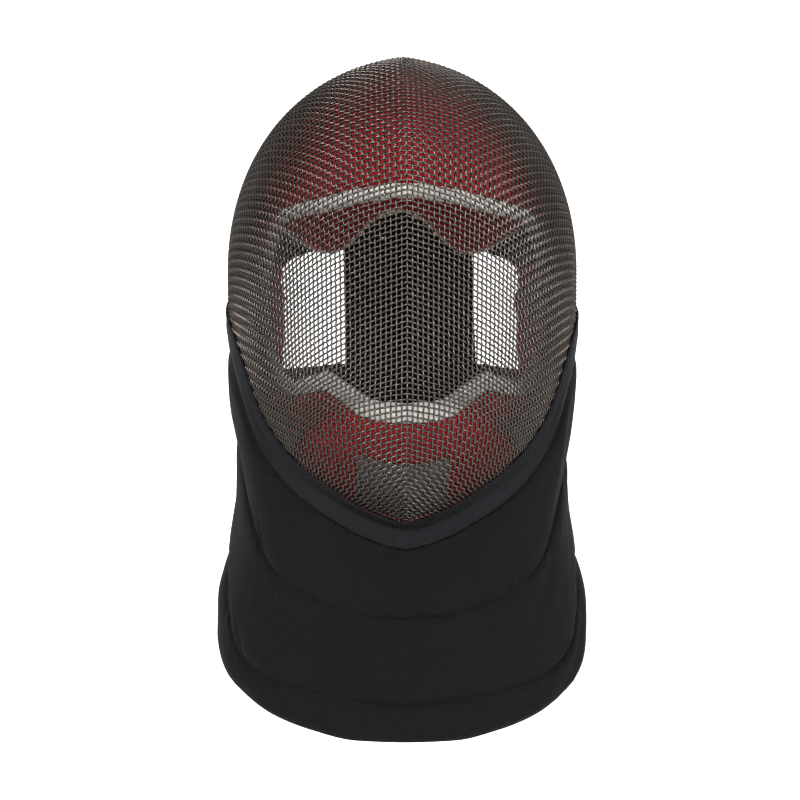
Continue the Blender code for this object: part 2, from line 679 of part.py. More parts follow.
def build_back_strap(centre):
    """The elastic strap from one side lining to the other, behind the tongue."""
    levels = [strap_row(level) for level in (0.0, 0.5, 1.0)]
    count = len(levels[0])
    outer = []
    for row in levels:
        shifted_row = []
        for i, p in enumerate(row):
            along = row[min(i + 1, count - 1)] - row[max(i - 1, 0)]
            out = Vector((-along.y, along.x, 0.0)).normalized()
            out = out if out.dot(Vector((p.x, p.y, 0.0))) > 0 else -out
            shifted_row.append(p + out * STRAP_THICKNESS)
        outer.append(shifted_row)
    inner_grid = [[row[i] for row in levels] for i in range(count)]
    outer_grid = [[row[i] for row in outer] for i in range(count)]
    return build_wall("back_strap", outer_grid, inner_grid, ELASTIC, centre)


def main():
    for thing in list(bpy.data.objects):
        bpy.data.objects.remove(thing, do_unlink=True)
    centre = bpy.data.objects.new("head_centre", None)
    centre.location = (0.0, 0.0, -SEAT_HEIGHT)
    bpy.context.scene.collection.objects.link(centre)
    build_wire_mesh(centre)
    build_rear_binding(centre)
    build_lower_band(centre)
    build_bib(centre)
    build_window_tape(centre)
    build_linings(centre)
    build_chin_patch(centre)
    build_tongue(centre)
    build_back_strap(centre)


main()
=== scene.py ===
"""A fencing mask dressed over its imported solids: woven wire, padded cloth, tapes, stitches and light.

Metres. Shapes are worked out about the head centre, as in the part's source, and then set in place.
"""

import math

import bmesh
import bpy
import numpy as np
from mathutils import Matrix, Vector


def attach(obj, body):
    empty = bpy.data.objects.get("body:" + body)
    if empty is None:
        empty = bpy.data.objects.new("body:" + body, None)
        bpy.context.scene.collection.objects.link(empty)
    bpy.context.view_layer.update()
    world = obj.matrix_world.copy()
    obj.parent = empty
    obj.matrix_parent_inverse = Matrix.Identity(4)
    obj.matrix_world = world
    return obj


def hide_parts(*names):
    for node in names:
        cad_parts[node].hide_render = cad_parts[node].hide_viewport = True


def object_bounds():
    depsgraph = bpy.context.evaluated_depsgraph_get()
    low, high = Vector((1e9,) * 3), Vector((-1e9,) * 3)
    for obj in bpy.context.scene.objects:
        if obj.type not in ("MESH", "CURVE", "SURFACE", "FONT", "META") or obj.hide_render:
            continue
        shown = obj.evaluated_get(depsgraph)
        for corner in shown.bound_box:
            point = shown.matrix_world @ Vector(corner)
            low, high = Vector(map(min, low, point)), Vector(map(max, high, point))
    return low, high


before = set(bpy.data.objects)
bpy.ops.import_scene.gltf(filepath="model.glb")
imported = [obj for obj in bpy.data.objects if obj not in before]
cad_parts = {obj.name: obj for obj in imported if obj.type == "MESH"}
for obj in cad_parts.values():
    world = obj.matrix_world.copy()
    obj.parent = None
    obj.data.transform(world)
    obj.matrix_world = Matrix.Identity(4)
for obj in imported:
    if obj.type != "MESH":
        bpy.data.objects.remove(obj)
CAD_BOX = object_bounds()

# The named sizes and tables of the part's source, which this file can't read
HALF_WIDTH = 0.104
FRONT_REACH = 0.118
REAR_REACH = 0.112
CROWN_HEIGHT = 0.1215
CHIN_DROP = 0.158
UPPER_FULLNESS = 2.08
LOWER_FULLNESS = 3.0
RIDGE_HEIGHT = 0.0065
RIDGE_SPREAD = 0.42
RIDGE_END = 0.55
RIDGE_RUN = 0.9
LOWER_HALF_RUN = 0.5
LEAN_BACK = 6.0
MESH_THICKNESS = 0.002
LAYER_GAP = 0.0004
LINING_THICKNESS = 0.006
PATCH_SPACE = 0.001
PATCH_THICKNESS = 0.0012
LINING_TUCK = 0.0068
LINING_TUCK_RUN_DEG = 22.0
WINDOW_TAPE_WIDTH = 0.0095
WINDOW_TAPE_PROUD = 0.0008
PIECE_GAP = 0.0005
LINING_SPREAD_DEG = 30.0
BAND_WIDTH = 0.0205
BAND_THICKNESS = 0.0016
BAND_OVERLAP_DEG = 2.5
BAND_END_CLOCK = 101.5
REAR_BINDING_WIDTH = 0.012
REAR_BINDING_INNER_WIDTH = 0.004
REAR_BINDING_THICKNESS = 0.0013
REAR_BINDING_END_CLOCK = 103.0
BIB_WALL = 0.0045
BIB_EDGE_WALL = 0.003
BIB_PUFF = 0.0036
BIB_PUFF_START = 0.0165
BIB_PUFF_RUN = 0.012
BIB_PINCH = 0.010
BIB_SIDE_RISE = 0.65
BIB_HEM_HALF_WIDTH = 0.107
BIB_HEM_FRONT = 0.092
BIB_HEM_REAR = 0.114
BIB_DROP = 0.2755
BIB_END_CLOCK = 100.5
BIB_OVERLAP_DEG = 0.3
TONGUE_WIDTH = 0.082
TONGUE_THICKNESS = 0.008
TONGUE_FOOT_ROUND = 0.014
TONGUE_SHIFT = 0.0056
TONGUE_FOOT_SHIFT = 0.0085
TONGUE_TOP = 0.0335
TONGUE_BOTTOM = -0.095
TONGUE_TOP_REACH = REAR_REACH - 0.0127
TONGUE_FOOT_REACH = REAR_REACH - 0.033
TONGUE_WRAP = 0.003
TONGUE_BELOW_WIRE = 0.0019
STRAP_THICKNESS = 0.0016
STRAP_WIDTH = 0.036
STRAP_TOP = -0.048
STRAP_END_DROP = 0.006
STRAP_END_REACH = 0.034
STRAP_END_LENGTH = 0.022
STRAP_END_SLANT = 0.014
STRAP_BOW = 0.0035
HOOD_EDGE = (
    (0, 70.0), (9, 67.2), (18, 64.7), (28, 64.4), (39, 64.8), (51, 65.5), (61, 68.7), (70, 76.5),
    (80, 93.0), (90, 116.0), (100, 130.0), (110, 136.0), (120, 142.5), (136, 151.0), (155, 154.0),
    (180, 155.0),
)
WINDOW_EDGE = (
    (0, 45.0, 1.0), (13, 45.6, 1.0), (20, 44.8, 0.98), (27, 44.9, 0.93), (33, 49.5, 0.79),
    (38, 54.6, 0.58), (45, 56.0, 0.4), (55, 56.0, 0.34), (65, 55.1, 0.34), (75, 53.1, 0.34),
    (88, 49.3, 0.36), (97, 45.8, 0.46), (102, 42.8, 0.59), (104.5, 37.0, 0.69), (107, 31.0, 0.78),
    (112, 24.2, 0.84), (131, 15.2, 0.86), (155, 11.4, 0.86), (180, 10.2, 0.86),
)
CHEEK_REAR_EDGE = (
    (0, 78.0), (10, 74.0), (18, 70.0), (26, 71.0), (32, 77.0), (38, 90.0), (46, 107.0), (56, 121.0),
    (66, 125.0), (78, 126.5), (90, 129.0), (102, 131.0),
)
CROWN_REAR_EDGE = (
    (103, 94.0), (116, 97.0), (117.8, 104.0), (118.6, 118.0), (119.6, 133.0), (122, 143.0),
    (126, 147.2), (131, 149.8), (140, 151.0), (151, 150.2), (163, 147.6), (180, 145.5),
)
BIB_COLUMNS = ((0, 0.0), (20, 17.0), (40, 42.0), (60, 72.0), (80, 102.0), (100, 127.0))
BIB_HEM = (
    (0, 1.0), (15, 0.997), (30, 0.977), (45, 0.948), (60, 0.907), (75, 0.862), (90, 0.8), (127, 0.7),
)
BIB_WAIST = ((0.0, 0.0), (0.1, 0.3), (0.25, 0.56), (0.42, 1.0), (0.55, 1.05), (0.65, 0.8), (0.73, 0.5),
             (0.85, 0.12), (1.0, 0.0))
BIB_SEAMS = (
    (0, 0.44, 0.84), (16, 0.487, 0.845), (31, 0.549, 0.878), (46, 0.597, 0.915), (54, 0.59, 0.918),
    (62, 0.571, 0.869), (70, 0.56, 0.832), (80, 0.55, 0.835), (100, 0.5, 0.83),
)
BIB_CHANNELS = (
    (0.0, 0.0), (0.22, 0.1), (0.4, 0.75), (0.62, 1.0), (0.82, 0.85), (0.94, 0.45), (1.0, 0.0),
    (1.07, 0.5), (1.23, 0.95), (1.51, 1.1), (1.79, 1.0), (1.93, 0.6), (2.0, 0.0), (2.18, 0.55),
    (2.53, 0.95), (2.82, 0.7), (3.0, 0.1),
)
TONGUE_PROFILE = (
    (0.0, 0.0, 0.45), (0.04, 0.02, 0.9), (0.12, 0.09, 1.0), (0.3, 0.25, 1.0), (0.5, 0.45, 1.0),
    (0.7, 0.68, 1.0), (0.85, 0.85, 0.9), (0.93, 0.94, 0.8), (0.98, 0.985, 0.76), (1.0, 1.0, 0.5),
)
TONGUE_WIDTHS = (
    (-1.0, 0.3, 1.0), (-0.95, 0.8, 0.43), (-0.85, 1.0, 0.13), (-0.6, 1.0, 0.015), (-0.3, 1.0, 0.0),
    (0.0, 1.0, 0.0), (0.3, 1.0, 0.0), (0.6, 1.0, 0.015), (0.85, 1.0, 0.13), (0.95, 0.8, 0.43),
    (1.0, 0.3, 1.0),
)
STRAP_ON_TONGUE = ((0.0, 0.0), (0.37, 0.03), (0.73, 0.27), (0.93, 0.5), (1.12, 1.07))

# The wire cloth
WIRE_RADIUS = 0.00058
WIRE_PITCH = 0.0031
WIRE_SIDES = 5
NET_STRIDE = 4
NET_SEED_HEIGHT = -0.085
NET_SEED_TILT = 31.0
NET_MARGIN_DEG = 20.0
NET_ROUNDS = 300
NET_SHEAR = 0.05
NET_BENDING = 0.3
NET_GIVE = 0.15
NET_HOLD = 0.02
NET_COLUMNS = 24

# Soft work
PUCKER_REACH = 0.011
PUCKER_PITCH = 0.017
PUCKER_HEIGHT = 0.00055
BIB_SWELL = 0.0009
BIB_ROWS = (0.0, 0.02, 0.05, 0.1, 0.16, 0.23, 0.3, 0.37, 0.44, 0.51, 0.58, 0.65, 0.72, 0.79, 0.85, 0.9, 0.94,
            0.965, 0.985)
BAND_END_SHARE = 0.3
BAND_END_RUN_DEG = 80.0
CHIN_SPREAD_DEG = 40.0
CHIN_REACH_DEG = 4.0
CHIN_DROP_DEPTH = 0.0016
BAND_RUN = ((0.0, 0.7), (0.08, 0.98), (0.2, 0.9), (0.45, 0.94), (0.7, 0.96), (0.9, 1.0), (1.0, 0.55))

# Camera, floor and light
CAMERA_DISTANCE = 1.621
CAMERA_AZIMUTH = -1.3
CAMERA_ELEVATION = -4.0
CAMERA_LEFT = 0.0012
CAMERA_DROP = 0.0768
PIXEL_SIZE = 0.0006
FLOOR_BELOW = 0.6
FLOOR_CURVE = 1.0
BACKDROP_REACH = 3.2
BACKDROP_HEIGHT = 3.0
BACKDROP_GLOW = 0.9
FRONT_GLOW = 0.08
WORLD_STRENGTH = 0.2
# (name, place, (width, height), watts)
LIGHTS = (
    ("key_light", (-0.7, -1.7, 0.75), (0.6, 0.6), 44.0),
    ("fill_light", (1.2, -1.6, 0.0), (0.6, 0.6), 25.0),
    ("top_light", (0.0, 0.2, 1.5), (1.2, 1.2), 9.5),
    ("rear_light", (0.3, 1.6, 0.5), (1.2, 1.2), 16.0),
)


def smooth(share):
    """0 to 1 with level ends."""
    share = np.clip(share, 0.0, 1.0)
    return share * share * (3.0 - 2.0 * share)


def read_table(rows, at, column=1):
    """A smooth curve, without overshoot, through one column of a table."""
    table = np.asarray(rows, float)
    xs, ys = table[:, 0], table[:, column]
    at = np.clip(at, xs[0], xs[-1])
    k = np.clip(np.searchsorted(xs, at, side="right") - 1, 0, len(xs) - 2)
    rises = np.diff(ys) / np.diff(xs)
    product = rises[:-1] * rises[1:]
    total = rises[:-1] + rises[1:]
    slopes = np.zeros(len(xs))
    slopes[1:-1] = np.where(product > 0, 2.0 * product / np.where(total == 0, 1.0, total), 0.0)
    step = xs[k + 1] - xs[k]
    t = (at - xs[k]) / step
    bend = t * (1.0 - t) * step * (slopes[k] * (1.0 - t) - slopes[k + 1] * t)
    return ys[k] + (ys[k + 1] - ys[k]) * smooth(t) + bend


def unit(vectors):
    return vectors / np.linalg.norm(vectors, axis=-1, keepdims=True)


def hood_radius(ray):
    """Distance from the head centre to the hood's outer face along unit rays."""
    across, back, up = ray[..., 0], ray[..., 1], ray[..., 2]
    reach = np.where(back < 0, FRONT_REACH, REAR_REACH)
    height = np.where(up > 0, CROWN_HEIGHT, CHIN_DROP)
    fullness = UPPER_FULLNESS + (LOWER_FULLNESS - UPPER_FULLNESS) * smooth(-up / LOWER_HALF_RUN)
    level = np.hypot(across / HALF_WIDTH, back / reach)
    radius = (level**fullness + (np.abs(up) / height) ** fullness) ** (-1.0 / fullness)
    ridge = RIDGE_HEIGHT * smooth((RIDGE_END - back) / RIDGE_RUN)
    return radius + ridge * np.exp(-np.abs(across) / RIDGE_SPREAD)


LEAN_TURN = -math.radians(LEAN_BACK)
LEAN = np.array([
    [1.0, 0.0, 0.0],
    [0.0, math.cos(LEAN_TURN), -math.sin(LEAN_TURN)],
    [0.0, math.sin(LEAN_TURN), math.cos(LEAN_TURN)],
])
LINING_DEPTH = MESH_THICKNESS + PATCH_THICKNESS + 2 * PATCH_SPACE
LINING_INNER_DEPTH = LINING_DEPTH + LINING_THICKNESS
SEAT_RAY = np.array([0.0, 0.0, 1.0]) @ LEAN
SEAT_HEIGHT = float(hood_radius(SEAT_RAY)) - LINING_INNER_DEPTH
CENTRE = np.array([0.0, 0.0, -SEAT_HEIGHT])


def ray_at(clock, cone):
    k, c = np.radians(clock), np.radians(cone)
    return np.stack(np.broadcast_arrays(np.sin(c) * np.sin(k), -np.cos(c), -np.sin(c) * np.cos(k)), -1)


def hood_point(clock, cone, depth):
    """Points that lie depth inside the hood's outer face, from the head centre."""
    ray = ray_at(clock, cone)
    return (ray * (hood_radius(ray) - depth)[..., None]) @ LEAN.T


def shifted(points, depth):
    """The points moved along their own rays until they lie depth inside the hood's outer face."""
    ray = unit(points @ LEAN)
    return (ray * (hood_radius(ray) - depth)[..., None]) @ LEAN.T


def angles_of(points):
    """Clock and cone angles of points."""
    ray = unit(points @ LEAN)
    clock = np.degrees(np.arctan2(ray[..., 0], -ray[..., 2]))
    return clock, np.degrees(np.arccos(np.clip(-ray[..., 1], -1.0, 1.0)))


def hood_normal(points):
    """Outward unit normals of the hood under points near it."""
    step = 2e-4
    slopes = []
    for axis in np.eye(3):
        high, low = points + axis * step, points - axis * step
        rise = np.linalg.norm(high, axis=-1) - hood_radius(unit(high @ LEAN))
        slopes.append(rise - np.linalg.norm(low, axis=-1) + hood_radius(unit(low @ LEAN)))
    return unit(np.stack(slopes, -1))


def folded(clock):
    """The same clock angles counted on one side, 0 to 180."""
    clock = np.mod(clock, 360.0)
    return np.minimum(clock, 360.0 - clock)


def hood_edge(clock):
    return read_table(HOOD_EDGE, folded(clock))


def mesh_edge(clock):
    under_band = 1.0 - smooth((folded(clock) - 80.0) / 20.0)
    return hood_edge(clock) + BAND_OVERLAP_DEG * under_band


def window_edge(clock):
    return read_table(WINDOW_EDGE, folded(clock))


def edge_side(clock, edge, turn=0.5):
    """Unit vectors along the hood, square to an edge curve and away from the face."""
    here = hood_point(clock, edge(clock), 0.0)
    along = hood_point(clock + turn, edge(clock + turn), 0.0) - hood_point(
        clock - turn, edge(clock - turn), 0.0
    )
    side = unit(np.cross(along, here))
    away = hood_point(clock, edge(clock) + 1.0, 0.0) - here
    return side * np.sign((side * away).sum(-1, keepdims=True))


def along_hood(clock, edge, distance, depth):
    """Points a distance past an edge curve, square to it, at a depth inside the hood."""
    distance = np.broadcast_to(distance, np.shape(clock))
    return shifted(hood_point(clock, edge(clock), 0.0) + edge_side(clock, edge) * distance[..., None], depth)


# Finishes


def new_material(name, colour, roughness, metallic=0.0, vary=0.12, grain=900.0, bump=0.25, sheen=0.0,
                 threads=0.0, specular=0.5, rim=1.0):
    """A plain finish with slow colour drift, fine grain and, where asked, crossed threads along the UVs."""
    material = bpy.data.materials.new(name)
    material.use_nodes = True
    nodes, links = material.node_tree.nodes, material.node_tree.links
    shader = nodes["Principled BSDF"]
    shader.inputs["Roughness"].default_value = roughness
    shader.inputs["Metallic"].default_value = metallic
    shader.inputs["Specular IOR Level"].default_value = specular
    shader.inputs["Specular Tint"].default_value = (rim, rim, rim, 1.0)
    if sheen:
        shader.inputs["Sheen Weight"].default_value = sheen
        shader.inputs["Sheen Roughness"].default_value = 0.5
    place = nodes.new("ShaderNodeTexCoord")
    drift = nodes.new("ShaderNodeTexNoise")
    drift.inputs["Scale"].default_value = 22.0
    drift.inputs["Detail"].default_value = 5.0
    links.new(place.outputs["Object"], drift.inputs["Vector"])
    blend = nodes.new("ShaderNodeMix")
    blend.data_type = "RGBA"
    blend.inputs[6].default_value = (*[c * (1.0 - vary) for c in colour], 1.0)
    blend.inputs[7].default_value = (*[min(c * (1.0 + vary), 1.0) for c in colour], 1.0)
    links.new(drift.outputs["Fac"], blend.inputs[0])
    links.new(blend.outputs[2], shader.inputs["Base Color"])
    fine = nodes.new("ShaderNodeTexNoise")
    fine.inputs["Scale"].default_value = grain
    fine.inputs["Detail"].default_value = 3.0
    links.new(place.outputs["Object"], fine.inputs["Vector"])
    height = fine.outputs["Fac"]
    if threads:
        crossed = nodes.new("ShaderNodeMath")
        crossed.operation = "MAXIMUM"
        for slot, direction in enumerate("XY"):
            wave = nodes.new("ShaderNodeTexWave")
            wave.bands_direction = direction
            wave.inputs["Scale"].default_value = threads
            wave.inputs["Distortion"].default_value = 0.6
            links.new(place.outputs["UV"], wave.inputs["Vector"])
            links.new(wave.outputs["Fac"], crossed.inputs[slot])
        both = nodes.new("ShaderNodeMath")
        both.operation = "ADD"
        links.new(fine.outputs["Fac"], both.inputs[0])
        links.new(crossed.outputs[0], both.inputs[1])
        height = both.outputs[0]
    relief = nodes.new("ShaderNodeBump")
    relief.inputs["Strength"].default_value = bump
    relief.inputs["Distance"].default_value = 0.0004
    links.new(height, relief.inputs["Height"])
    links.new(relief.outputs["Normal"], shader.inputs["Normal"])
    return material


FINISHES = {
    "wire_steel": new_material("wire_steel", (0.086, 0.076, 0.069), 0.27, metallic=0.94, vary=0.22, bump=0.12,
                               rim=0.3),
    "black_cloth": new_material("black_cloth", (0.0048, 0.0043, 0.0043), 0.95, vary=0.22, sheen=0.015,
                                grain=1500.0, threads=160.0, bump=0.45, specular=0.1),
    "black_tape": new_material("black_tape", (0.0054, 0.0056, 0.007), 0.85, vary=0.16, sheen=0.01,
                               threads=110.0, bump=0.35, specular=0.15),
    "red_cloth": new_material("red_cloth", (0.36, 0.013, 0.016), 0.85, vary=0.14, sheen=0.15, bump=0.3,
                              threads=90.0, specular=0.2),
    "white_tape": new_material("white_tape", (0.93, 0.89, 0.83), 0.8, vary=0.05, bump=0.3, threads=110.0),
    "elastic": new_material("elastic", (0.02, 0.02, 0.021), 0.8, vary=0.15, bump=0.5, threads=70.0),
    "grey_pile": new_material("grey_pile", (0.2, 0.165, 0.163), 0.95, vary=0.25, grain=1400.0, bump=0.9,
                              sheen=0.2),
}


# Building


def new_piece(name, verts, faces, finish, nodes=(), uvs=None, sharp=50.0):
    """A closed mesh piece of the scene, in place, that rides with the part."""
    mesh = bpy.data.meshes.new(name)
    mesh.from_pydata((np.asarray(verts) + CENTRE).tolist(), [], faces)
    if uvs is not None:
        corners = np.empty(len(mesh.loops), int)
        mesh.loops.foreach_get("vertex_index", corners)
        layer = mesh.uv_layers.new(name="UVMap")
        layer.data.foreach_set("uv", np.asarray(uvs, float)[corners].ravel())
    work = bmesh.new()
    work.from_mesh(mesh)
    bmesh.ops.recalc_face_normals(work, faces=work.faces)
    work.to_mesh(mesh)
    work.free()
    mesh.shade_smooth()
    mesh.set_sharp_from_angle(angle=math.radians(sharp))
    mesh.materials.append(FINISHES[finish])
    piece = bpy.data.objects.new(name, mesh)
    bpy.context.scene.collection.objects.link(piece)
    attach(piece, "root")
    if nodes:
        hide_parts(*nodes)
    return piece


def run_lengths(points, axis):
    """Distance run along one axis of a grid of points, averaged over the other."""
    steps = np.linalg.norm(np.diff(points, axis=axis), axis=-1).mean(axis=1 - axis)
    return np.concatenate([[0.0], np.cumsum(steps)])


def wall_piece(name, outer, inner, finish, nodes=(), closed=False, sharp=50.0):
    """A wall between two equal grids of points, columns by rows."""
    columns, rows = outer.shape[:2]
    verts = np.concatenate([outer.reshape(-1, 3), inner.reshape(-1, 3)])
    u, v = run_lengths(outer, 0), run_lengths(outer, 1)
    uvs = np.stack(np.meshgrid(u, v, indexing="ij"), -1).reshape(-1, 2)
    count = columns * rows
    i = np.arange(columns if closed else columns - 1)
    here, there = (i * rows)[:, None], (((i + 1) % columns) * rows)[:, None]
    j = np.arange(rows - 1)[None, :]
    skin = np.stack([here + j, there + j, there + j + 1, here + j + 1], -1).reshape(-1, 4)
    faces = skin.tolist() + (skin[:, ::-1] + count).tolist()
    for row in (0, rows - 1):
        a, b = here[:, 0] + row, there[:, 0] + row
        faces += np.stack([a, a + count, b + count, b], -1).tolist()
    for column in () if closed else (0, columns - 1):
        a = column * rows + np.arange(rows - 1)
        faces += np.stack([a, a + 1, a + 1 + count, a + count], -1).tolist()
    return new_piece(name, verts, faces, finish, nodes, np.concatenate([uvs, uvs]), sharp)


def sweep_piece(name, sections, finish, nodes=(), closed=False, sharp=50.0):
    """A solid through equal loops of points, sections by points, capped unless closed."""
    count, size = sections.shape[:2]
    i = np.arange(count if closed else count - 1)
    here, there = (i * size)[:, None], (((i + 1) % count) * size)[:, None]
    j = np.arange(size)[None, :]
    k = (j + 1) % size
    faces = np.stack([here + j, here + k, there + k, there + j], -1).reshape(-1, 4).tolist()
    if not closed:
        faces.append(list(range(size)))
        faces.append([(count - 1) * size + n for n in reversed(range(size))])
    u, v = run_lengths(sections, 0), run_lengths(sections, 1)
    uvs = np.stack(np.meshgrid(u, v, indexing="ij"), -1).reshape(-1, 2)
    return new_piece(name, sections.reshape(-1, 3), faces, finish, nodes, uvs, sharp)


def tubes_piece(name, runs, radius, sides, finish, nodes=(), sharp=80.0):
    """Round wires along runs of (points, up vectors), closed by a narrow ring at each end."""
    turns = np.arange(sides) * 2 * math.pi / sides
    verts, faces, base = [], [], 0
    for points, up in runs:
        along = unit(np.gradient(points, axis=0))
        side = unit(np.cross(along, up))
        top = np.cross(side, along)
        reach = np.full(len(points), radius)
        reach[[0, -1]] = radius * 0.1
        ring = side[:, None] * np.cos(turns)[None, :, None] + top[:, None] * np.sin(turns)[None, :, None]
        verts.append((points[:, None] + ring * reach[:, None, None]).reshape(-1, 3))
        i = np.arange(len(points) - 1)[:, None] * sides + base
        j = np.arange(sides)[None, :]
        k = (j + 1) % sides
        faces.append(np.stack([i + j, i + k, i + sides + k, i + sides + j], -1).reshape(-1, 4))
        base += len(points) * sides
    faces = np.concatenate(faces).tolist()
    return new_piece(name, np.concatenate(verts), faces, finish, nodes, None, sharp)


# Wire cloth


def ridge_run():
    """Fine points along the middle plane of the hood, from under the chin to the rear edge."""
    low, high = -float(mesh_edge(0)) - NET_MARGIN_DEG, float(mesh_edge(180)) + NET_MARGIN_DEG
    turn = np.radians(np.linspace(low, high, 3000))
    ray = np.stack([np.zeros_like(turn), -np.cos(turn), np.sin(turn)], -1)
    return (ray * (hood_radius(ray) - MESH_THICKNESS / 2)[:, None]) @ LEAN.T


def seed_weft(start, step):
    """One weft, cut from the hood by a plane that drops towards the back, at equal steps from the ridge."""
    tilt = math.radians(NET_SEED_TILT)
    plane = np.array([0.0, math.sin(tilt), math.cos(tilt)])
    weft, here = [start], start
    for i in range(NET_COLUMNS):
        for _ in range(8):
            aside = here if i else here + [3e-4, 0.0, 0.0]
            here = here + unit(np.cross(plane, hood_normal(aside))) * step / 8
            for _ in range(3):
                here = shifted(here, MESH_THICKNESS / 2)
                here = here - plane * ((here - start) @ plane)
        weft.append(here)
    return np.stack(weft)


def fourth_corner(before, below, opposite, step):
    """The point of the hood that lies a step from two neighbours, across from a third."""
    middle, half = (before + below) / 2, np.linalg.norm(before - below) / 2
    reach = math.sqrt(max(step**2 - half**2, (step / 4) ** 2))
    axis = unit(below - before)
    side = middle - opposite
    for _ in range(4):
        side = unit(side - axis * (side @ axis))
        corner = shifted(middle + side * reach, MESH_THICKNESS / 2)
        side = corner - middle
    return corner


def traced_net():
    """A net of equal steps over one half, worked out from the ridge and one weft, at every NET_STRIDE wires."""
    step = WIRE_PITCH * NET_STRIDE
    line = ridge_run()
    run = np.concatenate([[0.0], np.cumsum(np.linalg.norm(np.diff(line, axis=0), axis=1))])
    face = line[:, 1] < 0
    seed = np.interp(NET_SEED_HEIGHT, line[face, 2], run[face])
    rows = np.arange(math.ceil((run[0] - seed) / step), math.floor((run[-1] - seed) / step) + 1)
    ridge = np.stack([np.interp(seed + rows * step, run, line[:, a]) for a in range(3)], -1)
    first = int(np.abs(rows).argmin())
    net = np.zeros((NET_COLUMNS + 1, len(rows), 3))
    net[0] = ridge
    net[:, first] = seed_weft(ridge[first], step)
    for way, last in ((1, len(rows)), (-1, -1)):
        for j in range(first + way, last, way):
            for i in range(1, NET_COLUMNS + 1):
                net[i, j] = fourth_corner(net[i - 1, j], net[i, j - way], net[i - 1, j - way], step)
    return net, rows


def eased_net():
    """The traced net with its spacing evened out, its ridge and its seed row held."""
    traced, rows = traced_net()
    net = traced
    step = WIRE_PITCH * NET_STRIDE
    clock, cone = angles_of(net)
    live = np.cumprod(cone < mesh_edge(clock) + NET_MARGIN_DEG, axis=0).astype(bool)
    held = np.zeros(live.shape, bool)
    held[0] = True
    held[:, np.abs(rows).argmin()] = True
    springs = []
    for di, dj, rest, stiff in ((1, 0, 1.0, 1.0), (0, 1, 1.0, 1.0), (1, 1, 2**0.5, NET_SHEAR),
                                (1, -1, 2**0.5, NET_SHEAR)):
        i0, i1 = slice(0, -1 if di else None), slice(di, None)
        j0 = slice(1, None) if dj < 0 else slice(0, -1 if dj else None)
        j1 = slice(0, -1) if dj < 0 else slice(dj, None)
        first = np.linalg.norm(net[i1, j1] - net[i0, j0], axis=-1)
        springs.append(((i0, j0), (i1, j1), first, rest * step, stiff * (live[i0, j0] & live[i1, j1])))
    inner_u = (live[2:] & live[1:-1] & live[:-2]).astype(float) * NET_BENDING
    inner_v = (live[:, 2:] & live[:, 1:-1] & live[:, :-2]).astype(float) * NET_BENDING
    for turn in range(NET_ROUNDS):
        eased = smooth(turn / NET_ROUNDS / 0.8)
        move, share = (traced - net) * NET_HOLD, np.full(live.shape, NET_HOLD)
        move[1:-1] += ((net[2:] + net[:-2]) / 2 - net[1:-1]) * inner_u[..., None]
        move[:, 1:-1] += ((net[:, 2:] + net[:, :-2]) / 2 - net[:, 1:-1]) * inner_v[..., None]
        share[1:-1] += inner_u
        share[:, 1:-1] += inner_v
        for a, b, first, rest, stiff in springs:
            gap = net[b] - net[a]
            length = np.maximum(np.linalg.norm(gap, axis=-1), 1e-9)
            rest = first + (rest - first) * eased
            firm = stiff * np.where(length < rest, NET_GIVE, 1.0)
            pull = gap * (firm * (length - rest) / length * 0.5)[..., None]
            move[a] += pull
            move[b] -= pull
            share[a] += firm
            share[b] += firm
        net = np.where(held[..., None], net, shifted(net + 1.3 * move / share[..., None], MESH_THICKNESS / 2))
    return net, rows


def refined(grid, times):
    """A grid of points with its first axis divided finer, along smooth curves."""
    grid = np.concatenate([2 * grid[:1] - grid[1:2], grid, 2 * grid[-1:] - grid[-2:-1]])
    before, here, after, beyond = grid[:-3], grid[1:-2], grid[2:-1], grid[3:]
    parts = []
    for t in np.arange(times) / times:
        parts.append(
            here + 0.5 * t * (after - before + t * (2 * before - 5 * here + 4 * after - beyond
                                                    + t * (3 * (here - after) + beyond - before)))
        )
    fine = np.stack(parts, 1).reshape(-1, *grid.shape[1:])
    return np.concatenate([fine, grid[-2:-1]])


def wire_run(points, on_hood, parity):
    """One wire's points and up vectors, over and under the wires that it crosses."""
    kept = np.flatnonzero(on_hood)
    if len(kept) < 4:
        return None
    kept = np.arange(kept[0], kept[-1] + 1)
    points = points[kept]
    middles = (points[1:] + points[:-1]) / 2
    line = np.empty((2 * len(points) - 1, 3))
    line[0::2], line[1::2] = points, shifted(middles, MESH_THICKNESS / 2)
    up = hood_normal(line)
    rise = np.zeros(len(line))
    rise[0::2] = WIRE_RADIUS * np.where((kept + parity) % 2, -1.0, 1.0)
    return line + up * rise[:, None], up


